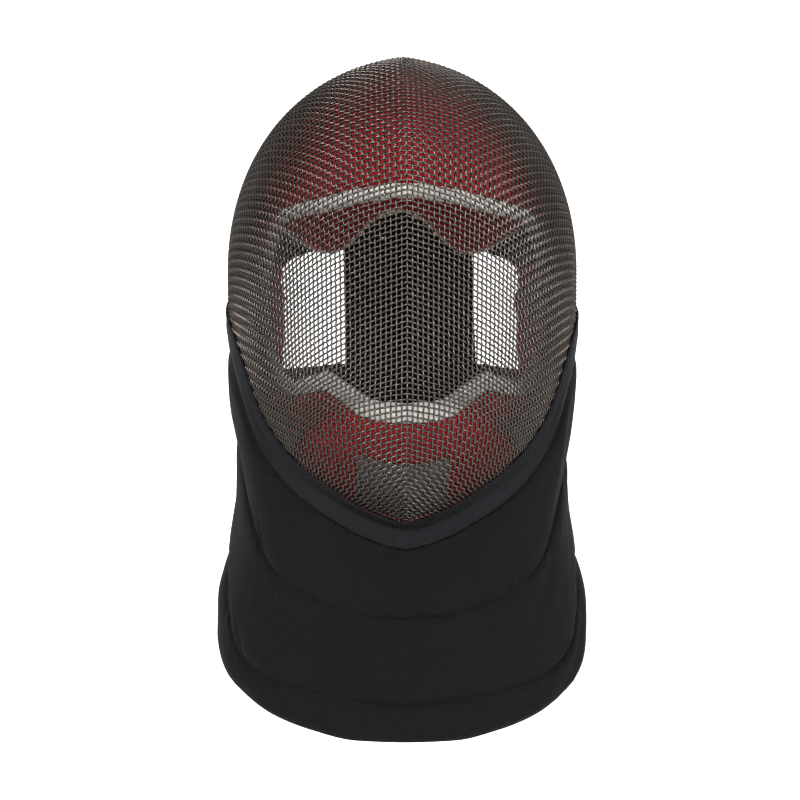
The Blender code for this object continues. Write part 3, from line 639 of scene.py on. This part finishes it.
def weave_wires():
    """The hood's cloth of crossed wires, whose middle warp follows the ridge."""
    net, rows = eased_net()
    net = refined(np.swapaxes(refined(net, NET_STRIDE), 0, 1), NET_STRIDE).swapaxes(0, 1)
    net = shifted(net, MESH_THICKNESS / 2)
    clock, cone = angles_of(net)
    on_hood = cone < mesh_edge(clock) - 0.3
    flip = np.array([-1.0, 1.0, 1.0])
    warps = {"warp_wires_left": [], "warp_wires_right": []}
    for i in range(net.shape[0]):
        run = wire_run(net[i], on_hood[i], i)
        if run is None:
            continue
        warps["warp_wires_right"].append(run)
        if i:
            warps["warp_wires_left"].append((run[0] * flip, run[1] * flip))
    wefts = {"weft_wires_lower": [], "weft_wires_upper": []}
    both = np.concatenate([net[:0:-1] * flip, net])
    both_on = np.concatenate([on_hood[:0:-1], on_hood])
    reach = net.shape[0] - 1
    for j in range(net.shape[1]):
        run = wire_run(both[:, j], both_on[:, j], reach + j + 1)
        if run is not None:
            half = "weft_wires_lower" if 2 * j < net.shape[1] else "weft_wires_upper"
            wefts[half].append(run)
    for name, runs in {**warps, **wefts}.items():
        tubes_piece(name, runs, WIRE_RADIUS, WIRE_SIDES, "wire_steel", ("wire_mesh",))


# Stitches


def stitches_piece(name, lines, finish, pitch=0.0032, radius=0.00028, lift=0.00012):
    """Short threads along lines of (points, up vectors), each sinking in at both ends."""
    runs = []
    for points, up in lines:
        run = np.concatenate([[0.0], np.cumsum(np.linalg.norm(np.diff(points, axis=0), axis=1))])
        for start in np.arange(0.4 * pitch, run[-1] - pitch, pitch):
            at = start + pitch * np.array([0.0, 0.18, 0.5, 0.62])
            place = np.stack([np.interp(at, run, points[:, a]) for a in range(3)], -1)
            out = unit(np.stack([np.interp(at, run, up[:, a]) for a in range(3)], -1))
            rise = np.array([-radius * 1.4, lift, lift, -radius * 1.4])
            runs.append((place + out * rise[:, None], out))
    return tubes_piece(name, runs, radius, 4, finish)


def ripple(at, seed, octaves=5):
    """A smooth uneven run of heights, about -1 to 1, along a distance in waves."""
    heights, weight = np.zeros(np.shape(at)), 0.0
    for n in range(octaves):
        pace = 1.0 + 0.61 * n + 0.07 * math.sin(3.1 * n + seed)
        share = 1.0 / (1.0 + 0.5 * n)
        heights = heights + share * np.sin(2 * math.pi * pace * at + 2.3 * seed + 1.7 * n * seed + n)
        weight += share
    return heights / weight * 1.6


# Bib and its band


def bib_columns_side(clock):
    return np.sin(np.radians(read_table(BIB_COLUMNS, np.abs(clock)))) ** 2


def bib_outward(clock):
    plan = np.radians(read_table(BIB_COLUMNS, np.abs(clock)))
    side = np.copysign(np.sin(plan) / BIB_HEM_HALF_WIDTH, clock)
    reach = np.where(np.cos(plan) > 0, BIB_HEM_FRONT, BIB_HEM_REAR)
    return unit(np.stack([side, -np.cos(plan) / reach, np.zeros_like(plan)], -1))


def bib_foot(clock):
    angle = read_table(BIB_COLUMNS, np.abs(clock))
    plan = np.radians(angle)
    reach = np.where(angle < 90, BIB_HEM_FRONT, BIB_HEM_REAR)
    x = np.copysign(BIB_HEM_HALF_WIDTH * np.sin(plan), clock)
    return np.stack([x, -reach * np.cos(plan), -BIB_DROP * read_table(BIB_HEM, angle)], -1)


def bib_top(clock):
    return hood_point(clock, mesh_edge(clock) + BIB_OVERLAP_DEG, 0.0)


def bib_point(clock, share, proud):
    """Points on the bib, share of the way down its columns, proud of its outer seam line."""
    side = bib_columns_side(clock)
    share = share ** (1.0 + BIB_SIDE_RISE * side)
    pinch = BIB_PINCH * read_table(BIB_WAIST, share) * side
    top = bib_top(clock)
    point = top + (bib_foot(clock) - top) * share[..., None]
    return point + bib_outward(clock) * (proud - pinch)[..., None]


def bib_share(clock, level):
    """Share of the way down the bib's columns at a level: 0 the top, 1 and 2 the seams, 3 the hem."""
    first, second = (read_table(BIB_SEAMS, np.abs(clock), column) for column in (1, 2))
    knots = np.stack([np.zeros_like(first), first, second, np.ones_like(first)], -1)
    k = np.clip(level.astype(int), 0, 2)[..., None]
    low, high = (np.take_along_axis(knots, k + n, -1)[..., 0] for n in (0, 1))
    return low + (high - low) * (level - k[..., 0])


def bib_length(clock):
    return np.linalg.norm(bib_foot(clock) - bib_top(clock), axis=-1)


def bib_relief(clock, level):
    """How far the quilted cloth stands proud of its seams: puffs, soft swells and small puckers."""
    share = bib_share(clock, level)
    length = bib_length(clock)
    drop = np.linalg.norm(bib_point(clock, share, 0.0 * share) - bib_top(clock), axis=-1)
    full = smooth((drop - BIB_PUFF_START) / BIB_PUFF_RUN)
    puff = BIB_PUFF * np.clip(read_table(BIB_CHANNELS, level), 0.0, None) ** 0.62
    along = np.radians(read_table(BIB_COLUMNS, np.abs(clock))) * np.sign(clock) * BIB_HEM_HALF_WIDTH
    puckers = np.zeros_like(share)
    for n in (1, 2, 3):
        away = (level - n) * np.where(level > n, 0.3, 0.4) * length
        near = np.exp(-((away / PUCKER_REACH) ** 2)) * smooth(np.abs(away) / 0.003)
        lean = along + 0.5 * away * ripple(along / 0.09, n + 4.0, 3) + (0.011 if n % 2 else 0.0) * (away > 0)
        patchy = 0.65 + 0.5 * ripple(along / 0.13, n + 7.0, 3)
        puckers = puckers + near * patchy * ripple(lean / PUCKER_PITCH, n + 1.3, 6)
    swell = ripple(along / 0.12 + 0.4 * level, 2.1, 3) * ripple(level * 0.45 + along / 0.31, 5.2, 3)
    return (puff + PUCKER_HEIGHT * puckers + BIB_SWELL * swell * (puff / BIB_PUFF)) * full


def build_bib():
    """The padded bib: three quilted channels with creased seams, a rolled hem and a plain back."""
    steps = np.array(BIB_ROWS)
    level = np.concatenate([steps, 1.0 + steps, 2.0 + steps, [2.993, 2.998, 3.0]])[None, :]
    level = refined(level.T, 2).T
    clock = np.linspace(-BIB_END_CLOCK, BIB_END_CLOCK, 381)[:, None]
    clock, level = np.broadcast_arrays(clock, level)
    share = bib_share(clock, level)
    wall = BIB_EDGE_WALL + (BIB_WALL - BIB_EDGE_WALL) * smooth(share / 0.2)
    relief = bib_relief(clock, level)
    hem = np.clip((share - 1.0) * bib_length(clock) / 0.0055 + 1.0, 0.0, 1.0)
    half = (relief + wall) / 2 * np.sqrt(np.clip(1.0 - hem**2, 0.0, 1.0))
    middle = (relief - wall) / 2
    outer = bib_point(clock, share, middle + half)
    inner = bib_point(clock, share, middle - half + 0.0005 * ripple(level * 2 + clock / 30.0, 3.3, 4) * (1 - hem))
    piece = wall_piece("quilted_bib", outer, inner, "black_cloth", ("bib",), sharp=80.0)
    lines = []
    for n in (1.0, 2.0):
        k = np.linspace(-BIB_END_CLOCK + 1, BIB_END_CLOCK - 1, 600)
        at = np.full_like(k, n)
        lines.append((bib_point(k, bib_share(k, at), bib_relief(k, at)), bib_outward(k)))
    stitches_piece("bib_stitches", lines, "black_tape", pitch=0.0038, lift=0.0002)


def build_band():
    """The band: from its lip over the wire, round the bend and down over the bib's top."""
    clock = np.linspace(-BAND_END_CLOCK, BAND_END_CLOCK, 421)
    lip = along_hood(clock, hood_edge, 0.0, -LAYER_GAP)
    bend = along_hood(clock, mesh_edge, 0.0, -LAYER_GAP)
    below = np.maximum(BAND_WIDTH - np.linalg.norm(bend - lip, axis=-1), BAND_WIDTH / 3)
    over_wire, over_bib = hood_normal(lip), bib_outward(clock)
    bend_out = unit(over_wire + over_bib)
    power = 1.0 / (1.0 + BIB_SIDE_RISE * bib_columns_side(clock))
    clear = BIB_PUFF * 0.1 + LAYER_GAP
    path = []
    for t in (0.0, 0.35, 0.75):
        path.append((lip + (bend - lip) * t, unit(over_wire + (bend_out - over_wire) * t)))
    path.append((bend, bend_out))
    for t in (0.15, 0.35, 0.6, 0.82, 0.94, 1.0):
        foot = bib_point(clock, (below * t / bib_length(clock)) ** power, np.full_like(clock, clear))
        level_in = smooth(t / 0.3)
        path.append((foot - over_bib * (clear * (1.0 - level_in))[..., None] if level_in < 1 else foot, over_bib))
    runs = np.linspace(0.0, 1.0, len(path))
    thick = BAND_THICKNESS * read_table(BAND_RUN, runs)
    wave = 0.00012 * ripple(clock / 6.0, 1.9, 5)
    ends = BAND_END_SHARE + (1.0 - BAND_END_SHARE) * smooth((BAND_END_CLOCK - np.abs(clock)) / BAND_END_RUN_DEG)
    top = [place + out * (thick[n] * ends + wave * (n in (1, 8)))[:, None] for n, (place, out) in enumerate(path)]
    loop = np.stack([path[0][0]] + top + [place for place, _ in path[:0:-1]], 1)
    sweep_piece("lower_band_tape", loop, "black_tape", ("lower_band",), sharp=60.0)
    lines = [(top[1][4:-4], path[1][1][4:-4]), (top[7][4:-4], path[7][1][4:-4])]
    stitches_piece("band_stitches", lines, "black_tape", pitch=0.003, lift=0.00016)


def build_rear_binding():
    gap, tape = LAYER_GAP, REAR_BINDING_THICKNESS
    width, inner = REAR_BINDING_WIDTH, REAR_BINDING_INNER_WIDTH
    back = MESH_THICKNESS + gap
    profile = np.array([
        (-width, -gap), (-width, -gap - 0.6 * tape), (-width + 0.0006, -gap - tape), (-width / 2, -gap - tape),
        (-0.001, -gap - tape), (gap + 0.6 * tape, -gap - 0.5 * tape), (gap + tape, MESH_THICKNESS / 2),
        (gap + 0.6 * tape, back + 0.5 * tape), (-0.001, back + tape), (-inner + 0.0006, back + tape),
        (-inner, back + 0.6 * tape), (-inner, back), (gap, back), (gap, -gap),
    ])
    clock = np.linspace(REAR_BINDING_END_CLOCK, 360.0 - REAR_BINDING_END_CLOCK, 161)
    loop = np.stack([along_hood(clock, mesh_edge, x, np.full_like(clock, d)) for x, d in profile], 1)
    sweep_piece("rear_binding_tape", loop, "black_tape", ("rear_binding",), sharp=60.0)
    places = [along_hood(clock, mesh_edge, -width + 0.0022, np.full_like(clock, -gap - tape))]
    lines = [(p, hood_normal(p)) for p in places]
    stitches_piece("rear_binding_stitches", lines, "black_tape", pitch=0.003, lift=0.0002)


# Linings


def tape_half(clock):
    return WINDOW_TAPE_WIDTH * read_table(WINDOW_EDGE, folded(clock), 2) / 2


def build_window_tape():
    front, back = LINING_DEPTH - WINDOW_TAPE_PROUD, LINING_INNER_DEPTH + WINDOW_TAPE_PROUD
    middle, deep = (front + back) / 2, (back - front) / 2
    turns = np.radians(np.arange(0, 360, 22.5))
    # A rounded oblong: flat faces, full ends
    across = np.sign(np.cos(turns)) * np.abs(np.cos(turns)) ** 0.55
    depth = middle - deep * np.sign(np.sin(turns)) * np.abs(np.sin(turns)) ** 0.7
    clock = np.linspace(0.0, 360.0, 480, endpoint=False)
    half = tape_half(clock)
    wave = 0.0002 * ripple(clock / 18.0, 2.7, 5)
    loop = np.stack([
        along_hood(clock, window_edge, (a * half), np.full_like(clock, d) + wave) for a, d in zip(across, depth)
    ], 1)
    sweep_piece("window_tape_bound", loop, "white_tape", ("window_tape",), closed=True, sharp=70.0)
    place = along_hood(clock, window_edge, half * 0.62, np.full_like(clock, front - 0.00005))
    place = np.concatenate([place, place[:1]])
    stitches_piece("window_tape_stitches", [(place, hood_normal(place))], "white_tape", pitch=0.003,
                   radius=0.00025)


def lining_depth(clock, cone):
    side = 1.0 - smooth((folded(clock) - 92.0) / 10.0)
    past_edge = cone - hood_edge(clock) + 2.0
    return LINING_DEPTH + LINING_TUCK * side * smooth(past_edge / LINING_TUCK_RUN_DEG)


def build_lining(name, clock, rear_edge, steps, node, seed):
    """One padded panel: soft, a little uneven, thinner and rounded at its rear edge."""
    at_chin = (1.0 - smooth(folded(clock) / CHIN_SPREAD_DEG))[:, None]
    far = read_table(rear_edge, folded(clock))[:, None] + CHIN_REACH_DEG * at_chin
    first = along_hood(clock, window_edge, tape_half(clock) + PIECE_GAP, 0.0)
    near_clock, near_cone = angles_of(first)
    drift = ((near_clock - clock + 180.0) % 360.0 - 180.0)[:, None]
    t = np.linspace(0.0, 1.0, steps + 1)[None, :]
    t = t + 0.12 * np.sin(2 * math.pi * t) / (2 * math.pi)
    cone = near_cone[:, None] + (far - near_cone[:, None]) * t
    at = clock[:, None] + drift * (1.0 - smooth((cone - near_cone[:, None]) / LINING_SPREAD_DEG))
    depth = lining_depth(at, cone)
    reach = np.radians(cone)
    soft = 0.5 * ripple(reach * 1.9 + 0.2 * np.sin(np.radians(at) * 2.0), seed, 4)
    soft = soft + 0.5 * ripple(np.radians(at) * np.sin(reach) * 2.2 + reach * 0.7, seed + 1.0, 5)
    near = (cone - near_cone[:, None]) * 0.002
    rim = np.minimum(near, (far - cone) * 0.002)
    rounded = 1.0 - np.sqrt(np.clip(1.0 - (1.0 - np.clip(rim / 0.003, 0.0, 1.0)) ** 2, 0.0, 1.0))
    squeeze = LINING_THICKNESS * 0.42 * rounded
    body = np.clip(rim / 0.012, 0.0, 1.0)
    dropped = CHIN_DROP_DEPTH * at_chin * smooth((cone - cone[:, -1:] + 9.0) / 6.0)
    outer = hood_point(at, cone, depth + squeeze * (1.0 - at_chin) - 0.0004 * body * (1.0 + soft) / 2 - dropped)
    inner = hood_point(at, cone, depth + LINING_THICKNESS - squeeze + body * (0.0006 + 0.0007 * soft))
    piece = wall_piece(name, outer, inner, "red_cloth", (node,), sharp=75.0)
    return piece


def build_linings():
    low, high = 102.6, 180.0
    half = np.unique(np.concatenate([np.linspace(low, high, 120), np.linspace(116.0, 123.0, 44)]))
    crown = np.concatenate([half, 360.0 - half[-2::-1]])
    build_lining("crown_pad", crown, CROWN_REAR_EDGE, 60, "crown_lining", 1.0)
    build_lining("cheek_pad", np.linspace(-102.0, 102.0, 301), CHEEK_REAR_EDGE, 56, "cheek_lining", 2.0)
    # Pale piping along the crown pad's rear edge
    k = np.linspace(115.5, 244.5, 420)
    place = hood_point(k, read_table(CROWN_REAR_EDGE, folded(k)) + 0.35, LINING_DEPTH + LINING_THICKNESS * 0.5)
    tubes_piece("crown_piping", [(place, hood_normal(place))], 0.0013, 8, "white_tape")


def keep_node(name, finish):
    """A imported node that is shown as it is, with the scene's finish."""
    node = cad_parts[name]
    node.data.materials.clear()
    node.data.materials.append(FINISHES[finish])


# Tongue and strap


def wire_edge_height(x):
    low, high = np.full_like(x, 105.0), np.full_like(x, 180.0)
    for _ in range(24):
        clock = (low + high) / 2
        wide = hood_point(clock, mesh_edge(clock), 0.0)[..., 0] > np.abs(x)
        low, high = np.where(wide, clock, low), np.where(wide, high, clock)
    return hood_point(high, mesh_edge(high), 0.0)[..., 2]


def tongue_middle(height):
    share = (height - TONGUE_BOTTOM) / (TONGUE_TOP - TONGUE_BOTTOM)
    back = read_table(TONGUE_PROFILE, share)
    x = TONGUE_FOOT_SHIFT + (TONGUE_SHIFT - TONGUE_FOOT_SHIFT) * share
    y = TONGUE_FOOT_REACH + (TONGUE_TOP_REACH - TONGUE_FOOT_REACH) * back
    return np.stack([x, y - TONGUE_WRAP * (1.0 - share), height], -1), read_table(TONGUE_PROFILE, share, 2)


def tongue_face(height, x, proud):
    middle, thickness = tongue_middle(height)
    share = (height - TONGUE_BOTTOM) / (TONGUE_TOP - TONGUE_BOTTOM)
    wrap = TONGUE_WRAP * (1.0 - share) * (1.0 - (2.0 * x / TONGUE_WIDTH) ** 2)
    back = TONGUE_THICKNESS * thickness / 2 + wrap + proud
    return middle + np.stack([x + 0.0 * back, back, 0.0 * back], -1)


def build_tongue():
    across = np.sin(np.linspace(-math.pi / 2, math.pi / 2, 61))[:, None]
    share = 0.5 - 0.5 * np.cos(np.linspace(0.0, math.pi, 71))[None, :]
    across, share = np.broadcast_arrays(across, share)
    x = across * TONGUE_WIDTH / 2
    top = np.minimum(TONGUE_TOP, wire_edge_height(x + TONGUE_SHIFT) - TONGUE_BELOW_WIRE)
    foot = TONGUE_BOTTOM + TONGUE_FOOT_ROUND * read_table(TONGUE_WIDTHS, across, 2)
    height = foot + (top - foot) * share
    full = TONGUE_THICKNESS * tongue_middle(height)[1]
    rim = np.minimum((1.0 - np.abs(across)) * TONGUE_WIDTH / 2, np.minimum(share, 1 - share) * 0.12)
    edge = np.clip(rim / 0.004, 0.0, 1.0)
    swell = np.sqrt(np.clip(1.0 - (1.0 - edge) ** 2, 0.0, 1.0)) * 0.85 + 0.15
    soft = 0.0003 * ripple(height / 0.05 + x / 0.08, 4.4, 4) * edge
    back = tongue_face(height, x, full * 0.5 * (swell - 1.0) - np.abs(soft))
    front = tongue_face(height, x, -full + full * 0.5 * (1.0 - swell) + soft)
    piece = wall_piece("tongue_cushion", back, front, "black_cloth", ("tongue_pad",), sharp=70.0)


def side_point(back, height, clearance):
    near, far = 0.04, 0.12
    for _ in range(24):
        x = (near + far) / 2
        point = np.array([x, back, height])
        clock, cone = angles_of(point)
        depth = float(hood_radius(unit(point @ LEAN))) - np.linalg.norm(point)
        if depth > lining_depth(clock, cone) - clearance:
            near = x
        else:
            far = x
    return np.array([x, back, height])


def strap_row(level):
    """Plan line of the strap's inner face at one level, level 0 its top edge and 1 its lower."""
    end = STRAP_TOP - STRAP_END_DROP - STRAP_WIDTH * level
    start = STRAP_END_REACH - STRAP_END_SLANT * level
    anchor = [side_point(start + STRAP_END_LENGTH * t, end, 3 * LAYER_GAP) for t in (0.0, 0.45, 1.0)]
    z = STRAP_TOP - STRAP_WIDTH * level
    middle = tongue_middle(np.array(z))[0][0]
    back = tongue_face(np.array(z), np.array(0.0), 2 * LAYER_GAP)[1]
    sides = []
    for turn in (1, -1):
        row = [np.array([middle + turn * x * TONGUE_WIDTH / 2, back - y * TONGUE_WRAP, z])
               for x, y in STRAP_ON_TONGUE]
        near, far = row[-1], anchor[-1] * [turn, 1, 1]
        for t in (0.25, 0.5, 0.75, 0.92):
            row.append(near + (far - near) * t + [0.0, STRAP_BOW * math.sin(math.pi * t), 0.0])
        sides.append(row + [p * [turn, 1, 1] for p in reversed(anchor)])
    return np.array(list(reversed(sides[1])) + sides[0][1:])


def build_strap():
    inner = np.stack([strap_row(level) for level in np.linspace(0.0, 1.0, 9)], 1)
    inner = refined(inner, 4)
    along = np.gradient(inner, axis=0)
    out = unit(np.stack([-along[..., 1], along[..., 0], np.zeros(inner.shape[:2])], -1))
    out *= np.sign((out * inner * [1, 1, 0]).sum(-1, keepdims=True))
    piece = wall_piece("back_strap_elastic", inner + out * STRAP_THICKNESS, inner, "elastic", ("back_strap",))


weave_wires()
build_bib()
build_band()
build_rear_binding()
build_window_tape()
build_linings()
build_tongue()
build_strap()
keep_node("tongue_hanger", "black_tape")
keep_node("chin_patch", "grey_pile")
keep_node("temple_lining_left", "black_cloth")
keep_node("temple_lining_right", "black_cloth")


# Floor, backdrop, light and camera


def build_stage():
    """A pale round floor that curves up into a backdrop all the way round, well clear of the part."""
    low = CAD_BOX[0][2] - FLOOR_BELOW
    profile = [(0.0, 0.0), (BACKDROP_REACH - FLOOR_CURVE, 0.0)]
    for turn in np.radians(np.linspace(7.5, 90.0, 12)):
        reach = BACKDROP_REACH - FLOOR_CURVE * (1.0 - math.sin(turn))
        profile.append((reach, FLOOR_CURVE * (1.0 - math.cos(turn))))
    profile.append((BACKDROP_REACH, BACKDROP_HEIGHT))
    turns = np.radians(np.arange(0, 360, 7.5))
    verts = [(r * math.cos(a), r * math.sin(a), low + z) for a in turns for r, z in profile]
    size = len(profile)
    faces = []
    for i in range(len(turns)):
        here, there = i * size, (i + 1) % len(turns) * size
        faces += [(here + j, there + j, there + j + 1, here + j + 1) for j in range(size - 1)]
    mesh = bpy.data.meshes.new("pale_floor")
    mesh.from_pydata(verts, [], faces)
    mesh.validate()
    mesh.shade_smooth()
    pale = bpy.data.materials.new("pale_floor")
    pale.use_nodes = True
    shader = pale.node_tree.nodes["Principled BSDF"]
    shader.inputs["Base Color"].default_value = (0.9, 0.9, 0.9, 1.0)
    shader.inputs["Roughness"].default_value = 1.0
    shader.inputs["Specular IOR Level"].default_value = 0.0
    shader.inputs["Emission Color"].default_value = (1.0, 1.0, 1.0, 1.0)
    # The glow is strongest behind the face and dies away towards the floor and the front
    nodes, links = pale.node_tree.nodes, pale.node_tree.links
    place = nodes.new("ShaderNodeNewGeometry")
    split = nodes.new("ShaderNodeSeparateXYZ")
    links.new(place.outputs["Position"], split.inputs[0])
    behind, raised = (nodes.new("ShaderNodeMapRange") for _ in range(2))
    for step, (start, end, least, most) in (
        (behind, (0.5 * BACKDROP_REACH, 0.93 * BACKDROP_REACH, FRONT_GLOW, BACKDROP_GLOW)),
        (raised, (low, low + 0.25, 0.0, 1.0)),
    ):
        step.interpolation_type = "SMOOTHSTEP"
        for socket, value in zip(("From Min", "From Max", "To Min", "To Max"), (start, end, least, most)):
            step.inputs[socket].default_value = value
    product = nodes.new("ShaderNodeMath")
    product.operation = "MULTIPLY"
    links.new(split.outputs["Y"], behind.inputs["Value"])
    links.new(split.outputs["Z"], raised.inputs["Value"])
    links.new(behind.outputs[0], product.inputs[0])
    links.new(raised.outputs[0], product.inputs[1])
    links.new(product.outputs[0], shader.inputs["Emission Strength"])
    mesh.materials.append(pale)
    floor = bpy.data.objects.new("pale_floor", mesh)
    bpy.context.scene.collection.objects.link(floor)


def add_light(name, place, size, power, aim=(0.0, 0.0, -0.19)):
    lamp = bpy.data.lights.new(name, "AREA")
    lamp.shape = "RECTANGLE"
    lamp.size, lamp.size_y = size
    lamp.energy = power
    thing = bpy.data.objects.new(name, lamp)
    bpy.context.scene.collection.objects.link(thing)
    thing.location = place
    thing.rotation_euler = (Vector(aim) - Vector(place)).to_track_quat("-Z", "Y").to_euler()


build_stage()
for light in LIGHTS:
    add_light(*light)
world = bpy.data.worlds.new("studio")
world.use_nodes = True
world.node_tree.nodes["Background"].inputs["Color"].default_value = (1.0, 1.0, 1.0, 1.0)
world.node_tree.nodes["Background"].inputs["Strength"].default_value = WORLD_STRENGTH
bpy.context.scene.world = world

azimuth, elevation = math.radians(CAMERA_AZIMUTH), math.radians(CAMERA_ELEVATION)
back = Vector((math.sin(azimuth) * math.cos(elevation), -math.cos(azimuth) * math.cos(elevation),
               math.sin(elevation)))
right = Vector((math.cos(azimuth), math.sin(azimuth), 0.0))
up = back.cross(right)
lens = bpy.data.cameras.new("photo_camera")
camera = bpy.data.objects.new("photo_camera", lens)
bpy.context.scene.collection.objects.link(camera)
camera.location = Vector(CENTRE) + back * CAMERA_DISTANCE - right * CAMERA_LEFT - up * CAMERA_DROP
camera.rotation_euler = Matrix((right, up, back)).transposed().to_euler()
lens.sensor_width = 36.0
lens.lens = CAMERA_DISTANCE / PIXEL_SIZE * lens.sensor_width / 800
bpy.context.scene.camera = camera

bpy.context.scene.view_settings.view_transform = "Standard"
